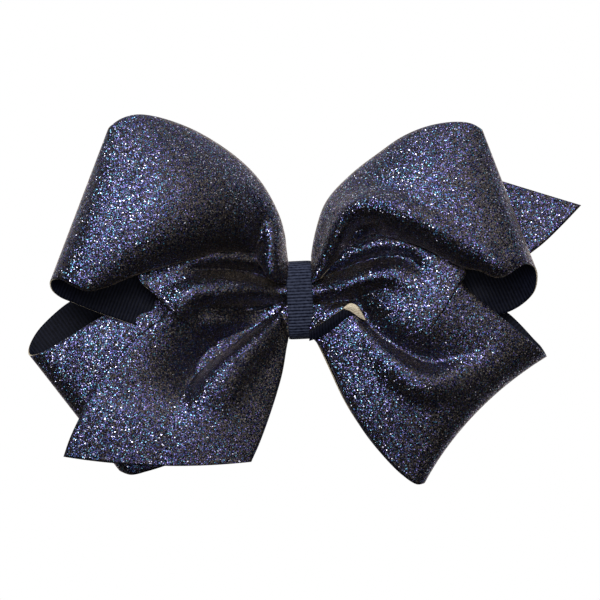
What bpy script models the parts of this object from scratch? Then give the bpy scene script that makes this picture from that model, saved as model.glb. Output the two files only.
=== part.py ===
"""Cheer hair bow: two lined glitter ribbons folded into four loops and two tails, cinched
by a thread, bound by a centre wrap and held on a sprung pinch clip.

The bow faces -Y with +Z up. X = Z = 0 is the middle of the centre wrap, and Y = 0 is the
flat back of the clip's lower jaw, which lies against the head.
"""
import math

import bmesh
import bpy
from mathutils import Vector

MM = 0.001
COLLECTION_NAME = "cheer_hair_bow"

# ---- driving dimensions, in millimetres ----
FABRIC_THICKNESS = 0.4        # one layer of ribbon, the glitter face or its lining
LAYER_SPACING = 0.7           # from the glitter face's middle to the lining's middle
WRAP_WIDTH = 9.5              # 3/8 inch grosgrain
WRAP_HALF_HEIGHT = 14.7
WRAP_THICKNESS = 0.5
WRAP_MIDDLE_Y = -11.5
WRAP_HALF_DEPTH = 8.7
WRAP_ROUNDNESS = 2.4          # exponent of the wrap's superellipse
WRAP_TILT = math.radians(-2.6)
WRAP_LAP = math.radians(24)   # how far the wrap's end laps over its start, behind
WRAP_LAP_LIFT = 1.4           # how far the lapped end stands off the start
WRAP_SEGMENTS = 48
WRAP_SHELL_OFFSET = 1.0       # the thickness grows to the inside of the band

STRAND_Y = {"upper_front": -16.5, "tail_a": -14.5, "upper_back": -12.5,
            "tail_b": -10.5, "lower_back": -8.5}

THREAD_RADIUS = 0.35
THREAD_MIDDLE_Y = -12.5
THREAD_HALF_DEPTH = 5.85
THREAD_HALF_HEIGHT = 11.5
THREAD_TURNS = 3
THREAD_SEGMENTS = 26          # in one turn
THREAD_ROUNDNESS = 3
THREAD_SPAN = 2.4

CLIP_WIDTH = 9.5
STEEL = 0.8                   # clip sheet thickness
UPPER_JAW_TIP_X = 29.0
LOWER_JAW_TIP_X = 28.0
LEVER_TIP_X = -28.0
UPPER_JAW_Y = -4.4            # middle of the upper jaw's sheet
LOWER_JAW_Y = -0.4            # middle of the lower jaw's sheet
PIVOT = Vector((-13.0, -2.4, 0.0))
PIN_RADIUS = 0.6
PIN_CLEARANCE = 0.3
LUG_RADIUS = 1.3
LUG_THICKNESS = 0.8
UPPER_LUG_Z = 3.9
LOWER_LUG_Z = 2.8
LEVER_RISE = 5.2              # how far the lower lever's tip stands off the jaw's plane
LEVER_BEND_X = -15.5
TOOTH_PITCH = 1.7
TOOTH_COUNT = 10
TOOTH_START_X = 10.5
TOOTH_ROOT_Y = -1.6
TOOTH_TIP_Y = -2.7
TOOTH_RIM_THICKNESS = 0.6
TOOTH_RIM_INSET = 0.4         # from the jaw's side to the middle of its toothed rim
SPRING_WIRE = 0.4
SPRING_RADIUS = 1.1
SPRING_TURNS = 3
SPRING_PITCH = 0.8
SPRING_LEG_X = -20.0
SPRING_START = math.radians(-100)
SPRING_PART_TURN = math.radians(200)    # beyond its whole turns, to bring the legs apart

SEAM_GLUE_HALF_WIDTH = 3.0
SEAM_GLUE_HALF_HEIGHT = 2.2
SEAM_GLUE_THICKNESS = 0.3
PAD_START_X, PAD_END_X = 8.0, 26.5
PAD_HALF_HEIGHT = 3.2
PAD_THICKNESS = 0.8
PAD_ROUNDING = 0.15
COVER_START_X, COVER_END_X = -12.0, 28.0    # the ribbon glued over the upper jaw
COVER_HALF_HEIGHT = 4.4
GLUE_DOT_X = 3.2
GLUE_DOT_HALF_WIDTH = 1.5
GLUE_DOT_HALF_HEIGHT = 3.0
GLUE_DOT_THICKNESS = 1.6
GLUE_DOT_ROUNDING = 0.4

LOOP_STEPS = 14               # sections along each half of a loop or tail
PINCH_STEPS = 4
WIDTH_STEPS = 4
GAP = 0.3                     # clearance kept between solids that touch


# ---- the ribbons' edges: (start, leaving, arriving, end) of a Bezier curve in X and Z ----
UPPER_LEFT = {
    "top": ((-6.2, 11), (-6, 34), (-34, 72), (-70, 63)),
    "front_low": ((-6.2, 4), (-25, 12), (-55, 18), (-91.6, 6.5)),
    "back_low": ((-6.2, 0), (-30, -8), (-60, -18), (-91.6, 6.5)),
    "fold_y": -34, "bulge": 11,
}
UPPER_RIGHT = {
    "top": ((6.2, 11), (8, 45), (35, 70), (66.8, 62.6)),
    "front_low": ((6.2, 4), (25, 14), (55, 0), (85.8, 13)),
    "back_low": ((6.2, 0), (30, -8), (68, -24), (85.8, 13)),
    "fold_y": -34, "bulge": 11,
}
LOWER_RIGHT = {
    "bottom": ((6.2, -12), (12, -26), (20, -52), (45.8, -68.4)),
    "front_top": ((6.2, 4), (30, 14), (60, 8), (91.9, -20.5)),
    "back_top": ((6.2, 0), (35, 8), (64, 10), (91.9, -20.5)),
    "fold_y": -20, "bulge": 9,
}
LOWER_LEFT = {
    "bottom": ((-6.2, -12), (-15, -40), (-35, -62), (-64.5, -65.0)),
    "front_top": ((-6.2, 2), (-35, 4), (-70, -2), (-101, -20)),
    "back_top": ((-6.2, 0), (-35, 8), (-80, 14), (-101, -20)),
    "fold_y": -8, "bulge": 7,
}
TAIL_A = {
    "low": ((-6.2, -12), (-8, -32), (-12, -46), (-18, -60)),
    "high": ((-6.2, 6), (-40, 6), (-70, -14), (-87.5, -58)),
    "drop": -12, "sway": -3,
}
TAIL_B = {
    "low": ((6.2, -6), (50, -10), (80, 8), (104.7, 35.2)),
    "high": ((6.2, 10), (10, 30), (20, 45), (39, 56)),
    "drop": -4, "sway": 0,
}
# heights of each strand's two edges where the thread cinches it
PINCH = {"upper_front": (1, 8), "tail_a": (-10, 5), "upper_back": (0, 10),
         "tail_b": (-10, 9), "lower_back": (-6.5, -1)}


def bezier(points, t):
    """Point of a cubic curve in X and Z, in millimetres."""
    a, b, c, d = [Vector(p) for p in points]
    s = 1 - t
    return a * s**3 + b * 3 * s * s * t + c * 3 * s * t * t + d * t**3


def row_between(low, high, y):
    """One section across the ribbon, from its lower edge to its upper edge."""
    row = []
    for k in range(WIDTH_STEPS + 1):
        p = low.lerp(high, k / WIDTH_STEPS)
        row.append(Vector((p.x, y, p.y)))
    return row


def loop_layer(low, high, pinch_y, loop, side):
    """Sections of one layer of a loop, from the pinch to the fold. side is -1 in front."""
    rows = []
    for i in range(LOOP_STEPS + 1):
        turn = i / LOOP_STEPS
        reach = math.sin(math.pi * turn / 2) ** 2
        fullness = math.sin(math.pi * turn) * reach ** (0.5 if side < 0 else 1.5)
        drift = reach if side < 0 else reach ** 1.5
        y = pinch_y + (loop["fold_y"] - pinch_y) * drift + side * loop["bulge"] * fullness
        rows.append(row_between(bezier(low, reach), bezier(high, reach), y))
    return rows


def tail_layer(tail, pinch_y):
    """Sections of a tail, from the pinch to its cut end."""
    rows = []
    for i in range(LOOP_STEPS + 1):
        t = i / LOOP_STEPS
        y = pinch_y + tail["drop"] * t + tail["sway"] * math.sin(math.pi * t)
        rows.append(row_between(bezier(tail["low"], t), bezier(tail["high"], t), y))
    return rows


def pinch_rows(strand, before, after):
    """Sections through the wrap, narrowing to the thread and widening again."""
    low, high = PINCH[strand]
    y = STRAND_Y[strand]
    middle = row_between(Vector((0, low)), Vector((0, high)), y)
    rows = []
    for start, end in ((before, middle), (middle, after)):
        for i in range(1, PINCH_STEPS + 1):
            t = i / PINCH_STEPS
            ease = t * t * (3 - 2 * t)
            row = []
            for a, b in zip(start, end):
                row.append(Vector((a.x + (b.x - a.x) * t, a.y + (b.y - a.y) * t,
                                   a.z + (b.z - a.z) * ease)))
            rows.append(row)
    return rows[:-1]


def ribbon_one_rows():
    """The closed ribbon that makes both upper loops, travelling right along its front."""
    front = STRAND_Y["upper_front"]
    back = STRAND_Y["upper_back"]
    right, left = UPPER_RIGHT, UPPER_LEFT
    right_front = loop_layer(right["front_low"], right["top"], front, right, -1)
    right_back = loop_layer(right["back_low"], right["top"], back, right, 1)[::-1]
    left_back = loop_layer(left["back_low"], left["top"], back, left, 1)
    left_front = loop_layer(left["front_low"], left["top"], front, left, -1)[::-1]
    rows = right_front + right_back[1:]
    rows += pinch_rows("upper_back", right_back[-1], left_back[0])
    rows += left_back + left_front[1:]
    rows += pinch_rows("upper_front", left_front[-1], right_front[0])
    return rows


def ribbon_two_rows():
    """The open ribbon: tail A, lower right loop, lower left loop, tail B."""
    right, left = LOWER_RIGHT, LOWER_LEFT
    tail_a = tail_layer(TAIL_A, STRAND_Y["tail_a"])[::-1]
    right_front = loop_layer(right["bottom"], right["front_top"], STRAND_Y["tail_a"], right, -1)
    right_back = loop_layer(right["bottom"], right["back_top"], STRAND_Y["lower_back"], right, 1)[::-1]
    left_back = loop_layer(left["bottom"], left["back_top"], STRAND_Y["lower_back"], left, 1)
    left_front = loop_layer(left["bottom"], left["front_top"], STRAND_Y["tail_b"], left, -1)[::-1]
    tail_b = tail_layer(TAIL_B, STRAND_Y["tail_b"])
    rows = list(tail_a)
    rows += pinch_rows("tail_a", tail_a[-1], right_front[0])
    rows += right_front + right_back[1:]
    rows += pinch_rows("lower_back", right_back[-1], left_back[0])
    rows += left_back + left_front[1:]
    rows += pinch_rows("tail_b", left_front[-1], tail_b[0])
    rows += tail_b
    return rows


def superellipse(angle, half_depth, half_height, exponent):
    """Point (y, z) of a rounded oval."""
    c, s = math.cos(angle), math.sin(angle)
    y = half_depth * math.copysign(abs(c) ** (2 / exponent), c)
    z = half_height * math.copysign(abs(s) ** (2 / exponent), s)
    return y, z


# ---- making objects ----
def material(name, colour, roughness, metallic=0.0):
    mat = bpy.data.materials.new(name)
    mat.use_nodes = True
    shader = mat.node_tree.nodes["Principled BSDF"]
    shader.inputs["Base Color"].default_value = (*colour, 1.0)
    shader.inputs["Roughness"].default_value = roughness
    shader.inputs["Metallic"].default_value = metallic
    return mat


def add_object(name, mesh, mat, collection):
    mesh.materials.clear()
    mesh.materials.append(mat)
    obj = bpy.data.objects.new(name, mesh)
    collection.objects.link(obj)
    return obj


def mesh_from(bm, name):
    bmesh.ops.recalc_face_normals(bm, faces=bm.faces)
    mesh = bpy.data.meshes.new(name)
    bm.to_mesh(mesh)
    bm.free()
    return mesh


def ribbon(name, rows, closed, offset, mat, collection):
    """A layer of ribbon: the lofted strip moved off its middle surface and given thickness."""
    bm = bmesh.new()
    grid = [[bm.verts.new(p * MM) for p in row] for row in rows]
    if closed:
        grid.append(grid[0])
    for near, far in zip(grid, grid[1:]):
        for k in range(len(near) - 1):
            bm.faces.new((near[k], far[k], far[k + 1], near[k + 1]))
    mesh = bpy.data.meshes.new(name)
    bm.to_mesh(mesh)
    bm.free()
    obj = add_object(name, mesh, mat, collection)
    shift = obj.modifiers.new("layer", "DISPLACE")
    shift.direction = "NORMAL"
    shift.mid_level = 0.0
    shift.strength = offset * MM
    shell = obj.modifiers.new("thickness", "SOLIDIFY")
    shell.thickness = FABRIC_THICKNESS * MM
    shell.offset = 0.0
    return obj


def wrap_band(mat, collection):
    """The centre wrap: a flat band once round the X axis, its end lapped over its start."""
    sweep = 2 * math.pi + WRAP_LAP
    bm = bmesh.new()
    rows = []
    for i in range(WRAP_SEGMENTS + 1):
        angle = sweep * i / WRAP_SEGMENTS - WRAP_LAP / 2
        climb = max(0.0, (angle - math.pi) / (math.pi - WRAP_LAP / 2))
        lift = WRAP_LAP_LIFT * min(1.0, climb) ** 3
        y, z = superellipse(angle, WRAP_HALF_DEPTH + lift, WRAP_HALF_HEIGHT, WRAP_ROUNDNESS)
        centre = Vector((0, WRAP_MIDDLE_Y + y, z))
        half = Vector((WRAP_WIDTH / 2, 0, 0))
        rows.append([bm.verts.new((centre + side * half) * MM) for side in (1, -1)])
    for near, far in zip(rows, rows[1:]):
        bm.faces.new((near[0], far[0], far[1], near[1]))
    mesh = bpy.data.meshes.new("center_wrap")
    bm.to_mesh(mesh)
    bm.free()
    obj = add_object("center_wrap", mesh, mat, collection)
    obj.rotation_euler = (0, WRAP_TILT, 0)
    shell = obj.modifiers.new("thickness", "SOLIDIFY")
    shell.thickness = WRAP_THICKNESS * MM
    shell.offset = WRAP_SHELL_OFFSET
    return obj


def curve_mesh(curve, name, collection):
    """Turn a filled or bevelled curve into a closed mesh."""
    holder = bpy.data.objects.new(name + "_curve", curve)
    collection.objects.link(holder)
    bpy.context.view_layer.update()
    evaluated = holder.evaluated_get(bpy.context.evaluated_depsgraph_get())
    mesh = bpy.data.meshes.new_from_object(evaluated)
    bm = bmesh.new()
    bm.from_mesh(mesh)
    bmesh.ops.remove_doubles(bm, verts=bm.verts, dist=0.00001)
    bmesh.ops.recalc_face_normals(bm, faces=bm.faces)
    bm.to_mesh(mesh)
    bm.free()
    bpy.data.objects.remove(holder)
    mesh.name = name
    return mesh


def outline_mesh(name, outline, half_thickness, middle_z=0.0):
    """A flat outline in X and Y, drawn out along Z to twice half_thickness."""
    bm = bmesh.new()
    corners = [bm.verts.new(Vector((x, y, middle_z - half_thickness)) * MM) for x, y in outline]
    face = bm.faces.new(corners)
    drawn = bmesh.ops.extrude_face_region(bm, geom=[face])
    moved = [item for item in drawn["geom"] if isinstance(item, bmesh.types.BMVert)]
    bmesh.ops.translate(bm, verts=moved, vec=Vector((0, 0, 2 * half_thickness)) * MM)
    return mesh_from(bm, name)


def wire(name, points, radius, resolution, mat, collection):
    """A round wire or thread along a list of points."""
    curve = bpy.data.curves.new(name, "CURVE")
    curve.dimensions = "3D"
    curve.bevel_depth = radius * MM
    curve.bevel_resolution = resolution
    curve.use_fill_caps = True
    spline = curve.splines.new("POLY")
    spline.points.add(len(points) - 1)
    for point, place in zip(spline.points, points):
        point.co = (*(place * MM), 1)
    mesh = curve_mesh(curve, name, collection)
    mesh.shade_smooth()
    return add_object(name, mesh, mat, collection)


def cylinder_mesh(name, radius, half_length, centre, segments=24):
    """A round bar along Z."""
    bm = bmesh.new()
    bmesh.ops.create_cone(bm, cap_ends=True, segments=segments, radius1=radius * MM,
                          radius2=radius * MM, depth=2 * half_length * MM)
    bmesh.ops.translate(bm, verts=bm.verts, vec=centre * MM)
    return mesh_from(bm, name)


def box_object(name, low, high, mat, collection, bevel=0.0):
    """A box between two corners, with its edges rounded."""
    bm = bmesh.new()
    bmesh.ops.create_cube(bm, size=1.0)
    low, high = Vector(low), Vector(high)
    bmesh.ops.scale(bm, verts=bm.verts, vec=(high - low) * MM)
    bmesh.ops.translate(bm, verts=bm.verts, vec=(high + low) / 2 * MM)
    obj = add_object(name, mesh_from(bm, name), mat, collection)
    if bevel:
        edge = obj.modifiers.new("rounding", "BEVEL")
        edge.width = bevel * MM
        edge.segments = 2
    return obj


def combine(base, mesh, name, operation, mat, cutters):
    """Boolean union with, or cut by, another mesh."""
    tool = add_object(name, mesh, mat, cutters)
    tool.hide_render = True
    tool.display_type = "WIRE"
    step = base.modifiers.new(name, "BOOLEAN")
    step.operation = operation
    step.solver = "EXACT"
    step.object = tool


# ---- the clip ----
def jaw_tip(y_low, y_high, tip_x):
    """The jaw's blunt rounded tip in side view, from its lower face to its upper face."""
    radius = (y_high - y_low) / 2
    points = []
    for i in range(5):
        angle = math.radians(-90 + 45 * i)
        points.append((tip_x - radius + radius * math.cos(angle),
                       (y_low + y_high) / 2 + radius * math.sin(angle)))
    return points


def lug_outline(root_y):
    """A hinge lug in side view: straight sides from the sheet, a round end about the pin."""
    towards = -1.0 if root_y > PIVOT.y else 1.0
    points = [(PIVOT.x + LUG_RADIUS, root_y), (PIVOT.x - LUG_RADIUS, root_y)]
    for i in range(9):
        angle = math.pi * i / 8
        points.append((PIVOT.x - LUG_RADIUS * math.cos(angle),
                       PIVOT.y + towards * LUG_RADIUS * math.sin(angle)))
    return points


def add_lugs(jaw, name, root_y, lug_z, mat, cutters):
    """A pair of hinge lugs on a jaw, and the hole through them for the pin."""
    for side, sign in (("left", -1), ("right", 1)):
        mesh = outline_mesh(name + side, lug_outline(root_y), LUG_THICKNESS / 2, sign * lug_z)
        combine(jaw, mesh, f"{name}_lug_{side}", "UNION", mat, cutters)
    hole = cylinder_mesh(name + "_hole", PIN_RADIUS + PIN_CLEARANCE, CLIP_WIDTH, PIVOT)
    combine(jaw, hole, name + "_pin_hole", "DIFFERENCE", mat, cutters)


def upper_jaw(mat, collection, cutters):
    """The flat jaw on the bow's side, with its lever in one straight piece."""
    low, high = UPPER_JAW_Y - STEEL / 2, UPPER_JAW_Y + STEEL / 2
    outline = [(LEVER_TIP_X, high), (LEVER_TIP_X, low)] + jaw_tip(low, high, UPPER_JAW_TIP_X)
    mesh = outline_mesh("clip_upper_jaw", outline, CLIP_WIDTH / 2)
    jaw = add_object("clip_upper_jaw", mesh, mat, collection)
    add_lugs(jaw, "upper", UPPER_JAW_Y, UPPER_LUG_Z, mat, cutters)
    return jaw


def lower_jaw(mat, collection, cutters):
    """The jaw on the head's side, its lever bent up and its rims toothed."""
    low, high = LOWER_JAW_Y - STEEL / 2, LOWER_JAW_Y + STEEL / 2
    outline = [(LEVER_BEND_X, high), (LEVER_TIP_X, high + LEVER_RISE),
               (LEVER_TIP_X, low + LEVER_RISE), (LEVER_BEND_X, low)]
    outline += jaw_tip(low, high, LOWER_JAW_TIP_X)
    mesh = outline_mesh("clip_lower_jaw", outline, CLIP_WIDTH / 2)
    jaw = add_object("clip_lower_jaw", mesh, mat, collection)
    add_lugs(jaw, "lower", LOWER_JAW_Y, LOWER_LUG_Z, mat, cutters)
    teeth = [(TOOTH_START_X + TOOTH_COUNT * TOOTH_PITCH, LOWER_JAW_Y), (TOOTH_START_X, LOWER_JAW_Y)]
    teeth.append((TOOTH_START_X, TOOTH_ROOT_Y))
    for i in range(TOOTH_COUNT):
        x = TOOTH_START_X + i * TOOTH_PITCH
        teeth.append((x + TOOTH_PITCH * 0.5, TOOTH_TIP_Y))
        teeth.append((x + TOOTH_PITCH, TOOTH_ROOT_Y))
    for side, sign in (("left", -1), ("right", 1)):
        rim_z = sign * (CLIP_WIDTH / 2 - TOOTH_RIM_INSET)
        rim = outline_mesh("teeth_" + side, teeth, TOOTH_RIM_THICKNESS / 2, rim_z)
        combine(jaw, rim, "tooth_rim_" + side, "UNION", mat, cutters)
    return jaw


def spring_points():
    """Coils round the pin, with one leg along each lever."""
    steps = 12
    sweep = 2 * math.pi * SPRING_TURNS + SPRING_PART_TURN
    total = round(steps * sweep / (2 * math.pi))
    half_span = SPRING_PITCH * sweep / (4 * math.pi)
    upper_leg_y = UPPER_JAW_Y + STEEL / 2 + GAP + SPRING_WIRE / 2
    lever_slope = LEVER_RISE / (LEVER_BEND_X - LEVER_TIP_X)
    lever_y = LOWER_JAW_Y - STEEL / 2 + (LEVER_BEND_X - SPRING_LEG_X) * lever_slope
    points = [Vector((SPRING_LEG_X, upper_leg_y, -half_span))]
    for i in range(total + 1):
        angle = SPRING_START + sweep * i / total
        points.append(Vector((PIVOT.x + SPRING_RADIUS * math.cos(angle),
                              PIVOT.y + SPRING_RADIUS * math.sin(angle),
                              -half_span + 2 * half_span * i / total)))
    points.append(Vector((LEVER_BEND_X, PIVOT.y + SPRING_RADIUS, half_span)))
    points.append(Vector((SPRING_LEG_X, lever_y - 2 * GAP, half_span)))
    return points


def thread_points():
    """Three turns of thread round the gathered ribbons."""
    steps = THREAD_TURNS * THREAD_SEGMENTS
    points = []
    for i in range(steps + 1):
        angle = 2 * math.pi * i / THREAD_SEGMENTS
        y, z = superellipse(angle, THREAD_HALF_DEPTH, THREAD_HALF_HEIGHT, THREAD_ROUNDNESS)
        x = -THREAD_SPAN / 2 + THREAD_SPAN * i / steps
        points.append(Vector((x, THREAD_MIDDLE_Y + y, z)))
    return points


def build():
    for obj in list(bpy.data.objects):
        bpy.data.objects.remove(obj)
    parts = bpy.data.collections.new(COLLECTION_NAME)
    cutters = bpy.data.collections.new("cutters")
    bpy.context.scene.collection.children.link(parts)
    bpy.context.scene.collection.children.link(cutters)

    glitter = material("glitter_fabric", (0.035, 0.045, 0.14), 0.4, 0.3)
    lining = material("grosgrain_navy", (0.012, 0.015, 0.035), 0.7)
    wrap_cloth = material("wrap_grosgrain", (0.02, 0.024, 0.05), 0.6)
    thread = material("waxed_thread", (0.02, 0.02, 0.04), 0.7)
    steel = material("clip_steel", (0.6, 0.6, 0.62), 0.25, 1.0)
    pin_steel = material("pin_steel", (0.5, 0.5, 0.52), 0.3, 1.0)
    rubber = material("grip_rubber", (0.05, 0.05, 0.055), 0.8)
    glue = material("hot_glue", (0.75, 0.73, 0.65), 0.35)

    outside = LAYER_SPACING / 2
    upper = ribbon_one_rows()
    lower = ribbon_two_rows()
    ribbon("upper_ribbon_glitter", upper, True, outside, glitter, parts)
    ribbon("upper_ribbon_lining", upper, True, -outside, lining, parts)
    ribbon("lower_ribbon_glitter", lower, False, outside, glitter, parts)
    ribbon("lower_ribbon_lining", lower, False, -outside, lining, parts)

    wrap_band(wrap_cloth, parts)
    seam_front = WRAP_MIDDLE_Y + WRAP_HALF_DEPTH + GAP
    box_object("wrap_seam_glue",
               (-SEAM_GLUE_HALF_WIDTH, seam_front, -SEAM_GLUE_HALF_HEIGHT),
               (SEAM_GLUE_HALF_WIDTH, seam_front + SEAM_GLUE_THICKNESS, SEAM_GLUE_HALF_HEIGHT), glue, parts)
    wire("gathering_thread", thread_points(), THREAD_RADIUS, 1, thread, parts)

    upper_jaw(steel, parts, cutters)
    lower_jaw(steel, parts, cutters)
    pin_mesh = cylinder_mesh("clip_pin", PIN_RADIUS, CLIP_WIDTH / 2, PIVOT)
    pin = add_object("clip_pin", pin_mesh, pin_steel, parts)
    pin.data.set_sharp_from_angle(angle=math.radians(40))
    wire("clip_spring", spring_points(), SPRING_WIRE / 2, 2, pin_steel, parts)

    jaw_back = UPPER_JAW_Y + STEEL / 2
    jaw_front = UPPER_JAW_Y - STEEL / 2
    pad_front = jaw_back + GAP
    box_object("grip_pad", (PAD_START_X, pad_front, -PAD_HALF_HEIGHT),
               (PAD_END_X, pad_front + PAD_THICKNESS, PAD_HALF_HEIGHT), rubber, parts, PAD_ROUNDING)
    cover_back = jaw_front - GAP
    cover_front = cover_back - FABRIC_THICKNESS
    box_object("clip_lining", (COVER_START_X, cover_front, -COVER_HALF_HEIGHT),
               (COVER_END_X, cover_back, COVER_HALF_HEIGHT), lining, parts)
    glue_back = cover_front - GAP
    for side, x in (("left", -GLUE_DOT_X), ("right", GLUE_DOT_X)):
        box_object("glue_dot_" + side,
                   (x - GLUE_DOT_HALF_WIDTH, glue_back - GLUE_DOT_THICKNESS, -GLUE_DOT_HALF_HEIGHT),
                   (x + GLUE_DOT_HALF_WIDTH, glue_back, GLUE_DOT_HALF_HEIGHT),
                   glue, parts, GLUE_DOT_ROUNDING)


build()
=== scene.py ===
"""Cheer hair bow: fine ribbons, wrap, clip and materials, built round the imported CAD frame.

All tables below are in millimetres in the CAD's frame: X to the right, Y to the back, Z up.
"""
import math

import bmesh
import bpy
import numpy as np
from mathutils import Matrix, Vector


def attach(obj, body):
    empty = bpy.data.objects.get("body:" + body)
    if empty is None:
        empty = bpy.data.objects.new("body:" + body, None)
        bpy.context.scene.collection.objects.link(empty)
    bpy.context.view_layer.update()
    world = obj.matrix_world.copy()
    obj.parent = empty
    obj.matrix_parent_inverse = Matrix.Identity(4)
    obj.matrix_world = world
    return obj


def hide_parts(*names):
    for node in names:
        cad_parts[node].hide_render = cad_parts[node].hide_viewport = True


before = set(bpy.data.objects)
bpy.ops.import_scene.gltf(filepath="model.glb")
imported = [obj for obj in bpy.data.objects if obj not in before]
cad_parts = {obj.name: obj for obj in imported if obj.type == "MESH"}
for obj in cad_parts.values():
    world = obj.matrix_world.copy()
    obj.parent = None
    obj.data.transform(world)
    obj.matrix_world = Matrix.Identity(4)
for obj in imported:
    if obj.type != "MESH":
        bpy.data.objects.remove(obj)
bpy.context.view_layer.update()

MM = 0.001
GLITTER_THICKNESS = 0.45
LINING_THICKNESS = 0.34
RIB_PITCH = 1.25
FLAKES_PER_METRE = 3500.0
FLAKE_TILT = 0.50             # how far flakes lean from the film
ROW_SPACING = 0.9            # between sections along a ribbon
COLUMNS = 56                 # quads across a ribbon
RIBBON_WIDTH = 0.076         # metres: 3 inch ribbon, an estimate
GATHER_PLEATS = 7            # across each loop's back layer, beside the wrap
GATHER_REACH = 38.0          # how far the gathers fan out from the wrap
UPPER_GATHER = {"depth": 2.8, "lean": 0.2}
LOWER_GATHER = {"depth": 1.6, "lean": -0.4}
RIDGE_SHARPNESS = 2.6        # ridges are round
GROOVE_SHARPNESS = 1.25      # grooves between them close to a line
VIEW_WIDTH = 0.2238          # what the camera sees across, at the wrap
CAMERA_DISTANCE = 1.0
BOW_DEPTH = 0.018            # from Y = 0 to the middle of the bow, where VIEW_WIDTH holds
TENT_AXIS = (0.0, 0.88, 0.47)    # towards the tent's brightest side, behind and above
TENT_FADE = (-0.20, 0.50)    # cosine from that axis: the walls are dim below the first, bright over the second
TENT_DIM = 0.02
TENT_BRIGHT = 1.35


# ------------------------------------------------------------------ camera, light, stage
def add_camera():
    data = bpy.data.cameras.new("camera")
    data.sensor_width = 36.0
    data.lens = data.sensor_width * CAMERA_DISTANCE / VIEW_WIDTH
    cam = bpy.data.objects.new("camera", data)
    bpy.context.scene.collection.objects.link(cam)
    cam.location = (0, -CAMERA_DISTANCE - BOW_DEPTH, 0)
    cam.rotation_euler = (math.radians(90), 0, 0)
    bpy.context.scene.camera = cam


def add_area_light(name, place, aim, size, power):
    data = bpy.data.lights.new(name, "AREA")
    data.shape = "RECTANGLE"
    data.size, data.size_y = size
    data.energy = power
    light = bpy.data.objects.new(name, data)
    bpy.context.scene.collection.objects.link(light)
    light.location = place
    light.rotation_euler = (Vector(aim) - Vector(place)).to_track_quat("-Z", "Y").to_euler()


def add_world():
    """A light tent: bright behind and above, dimmer at the sides, nearly dark in front and below.

    The camera sees its walls as white from every side.
    """
    world = bpy.data.worlds.new("light_tent")
    bpy.context.scene.world = world
    world.use_nodes = True
    tree = world.node_tree
    background = tree.nodes["Background"]
    background.inputs["Color"].default_value = (1, 1, 1, 1)
    direction = tree.nodes.new("ShaderNodeTexCoord").outputs["Generated"]
    brightest = tree.nodes.new("ShaderNodeVectorMath")
    brightest.operation = "DOT_PRODUCT"
    brightest.inputs[1].default_value = TENT_AXIS
    strength = tree.nodes.new("ShaderNodeMapRange")
    strength.inputs["From Min"].default_value = TENT_FADE[0]
    strength.inputs["From Max"].default_value = TENT_FADE[1]
    strength.inputs["To Min"].default_value = TENT_DIM
    strength.inputs["To Max"].default_value = TENT_BRIGHT
    tree.links.new(direction, brightest.inputs[0])
    tree.links.new(brightest.outputs["Value"], strength.inputs["Value"])
    seen = tree.nodes.new("ShaderNodeMix")
    seen.inputs["B"].default_value = 1.0
    tree.links.new(tree.nodes.new("ShaderNodeLightPath").outputs["Is Camera Ray"], seen.inputs["Factor"])
    tree.links.new(strength.outputs["Result"], seen.inputs["A"])
    tree.links.new(seen.outputs["Result"], background.inputs["Strength"])


def add_stage():
    bpy.ops.mesh.primitive_plane_add(size=1, location=(0, 0.6, -0.42))
    floor = bpy.context.object
    floor.name = "floor"
    floor.scale = (0.7, 0.6, 1)
    floor.data.materials.append(plain_material("floor_paper", (0.86, 0.86, 0.85), 0.9))


# ------------------------------------------------------------------ materials
def plain_material(name, colour, roughness, metallic=0.0):
    mat = bpy.data.materials.new(name)
    mat.use_nodes = True
    shader = mat.node_tree.nodes["Principled BSDF"]
    shader.inputs["Base Color"].default_value = (*colour, 1)
    shader.inputs["Roughness"].default_value = roughness
    shader.inputs["Metallic"].default_value = metallic
    return mat


class Nodes:
    """Short helpers for a material's node tree."""

    def __init__(self, mat):
        self.tree = mat.node_tree
        self.shader = mat.node_tree.nodes["Principled BSDF"]

    def add(self, kind, inputs=None, **settings):
        node = self.tree.nodes.new("ShaderNode" + kind)
        for key, value in settings.items():
            setattr(node, key, value)
        for key, value in (inputs or {}).items():
            self.put(node.inputs[key], value)
        return node

    def put(self, socket, value):
        if isinstance(value, bpy.types.NodeSocket):
            self.tree.links.new(value, socket)
        else:
            socket.default_value = value

    def math(self, operation, a, b=0.0):
        node = self.add("Math", operation=operation)
        self.put(node.inputs[0], a)
        self.put(node.inputs[1], b)
        return node.outputs[0]

    def multiply_add(self, a, factor, addend):
        node = self.add("Math", operation="MULTIPLY_ADD")
        for socket, value in zip(node.inputs, (a, factor, addend)):
            self.put(socket, value)
        return node.outputs[0]

    def vector(self, operation, a, b=None, scale=None):
        node = self.add("VectorMath", operation=operation)
        self.put(node.inputs[0], a)
        if b is not None:
            self.put(node.inputs[1], b)
        if scale is not None:
            self.put(node.inputs["Scale"], scale)
        return node.outputs[0]

    def ramp(self, factor, stops, interpolation="LINEAR"):
        node = self.add("ValToRGB", {"Fac": factor})
        node.color_ramp.interpolation = interpolation
        elements = node.color_ramp.elements
        while len(elements) < len(stops):
            elements.new(0.5)
        for element, (place, colour) in zip(elements, stops):
            element.position = place
            element.color = (*colour, 1)
        return node.outputs["Color"]


FILM_SHARE = 0.40            # cells that are bare film and not flake
# (share of the cells below this stop, colour from it on): the film, then the flakes
GLITTER_PALETTE = [
    (0.0, (0.006, 0.0045, 0.0035)),
    (FILM_SHARE, (0.009, 0.008, 0.016)),
    (0.55, (0.044, 0.034, 0.105)),
    (0.70, (0.022, 0.034, 0.110)),
    (0.79, (0.020, 0.078, 0.120)),
    (0.85, (0.13, 0.12, 0.29)),
    (0.93, (0.11, 0.25, 0.34)),
    (0.975, (0.60, 0.60, 0.72)),
]


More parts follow.
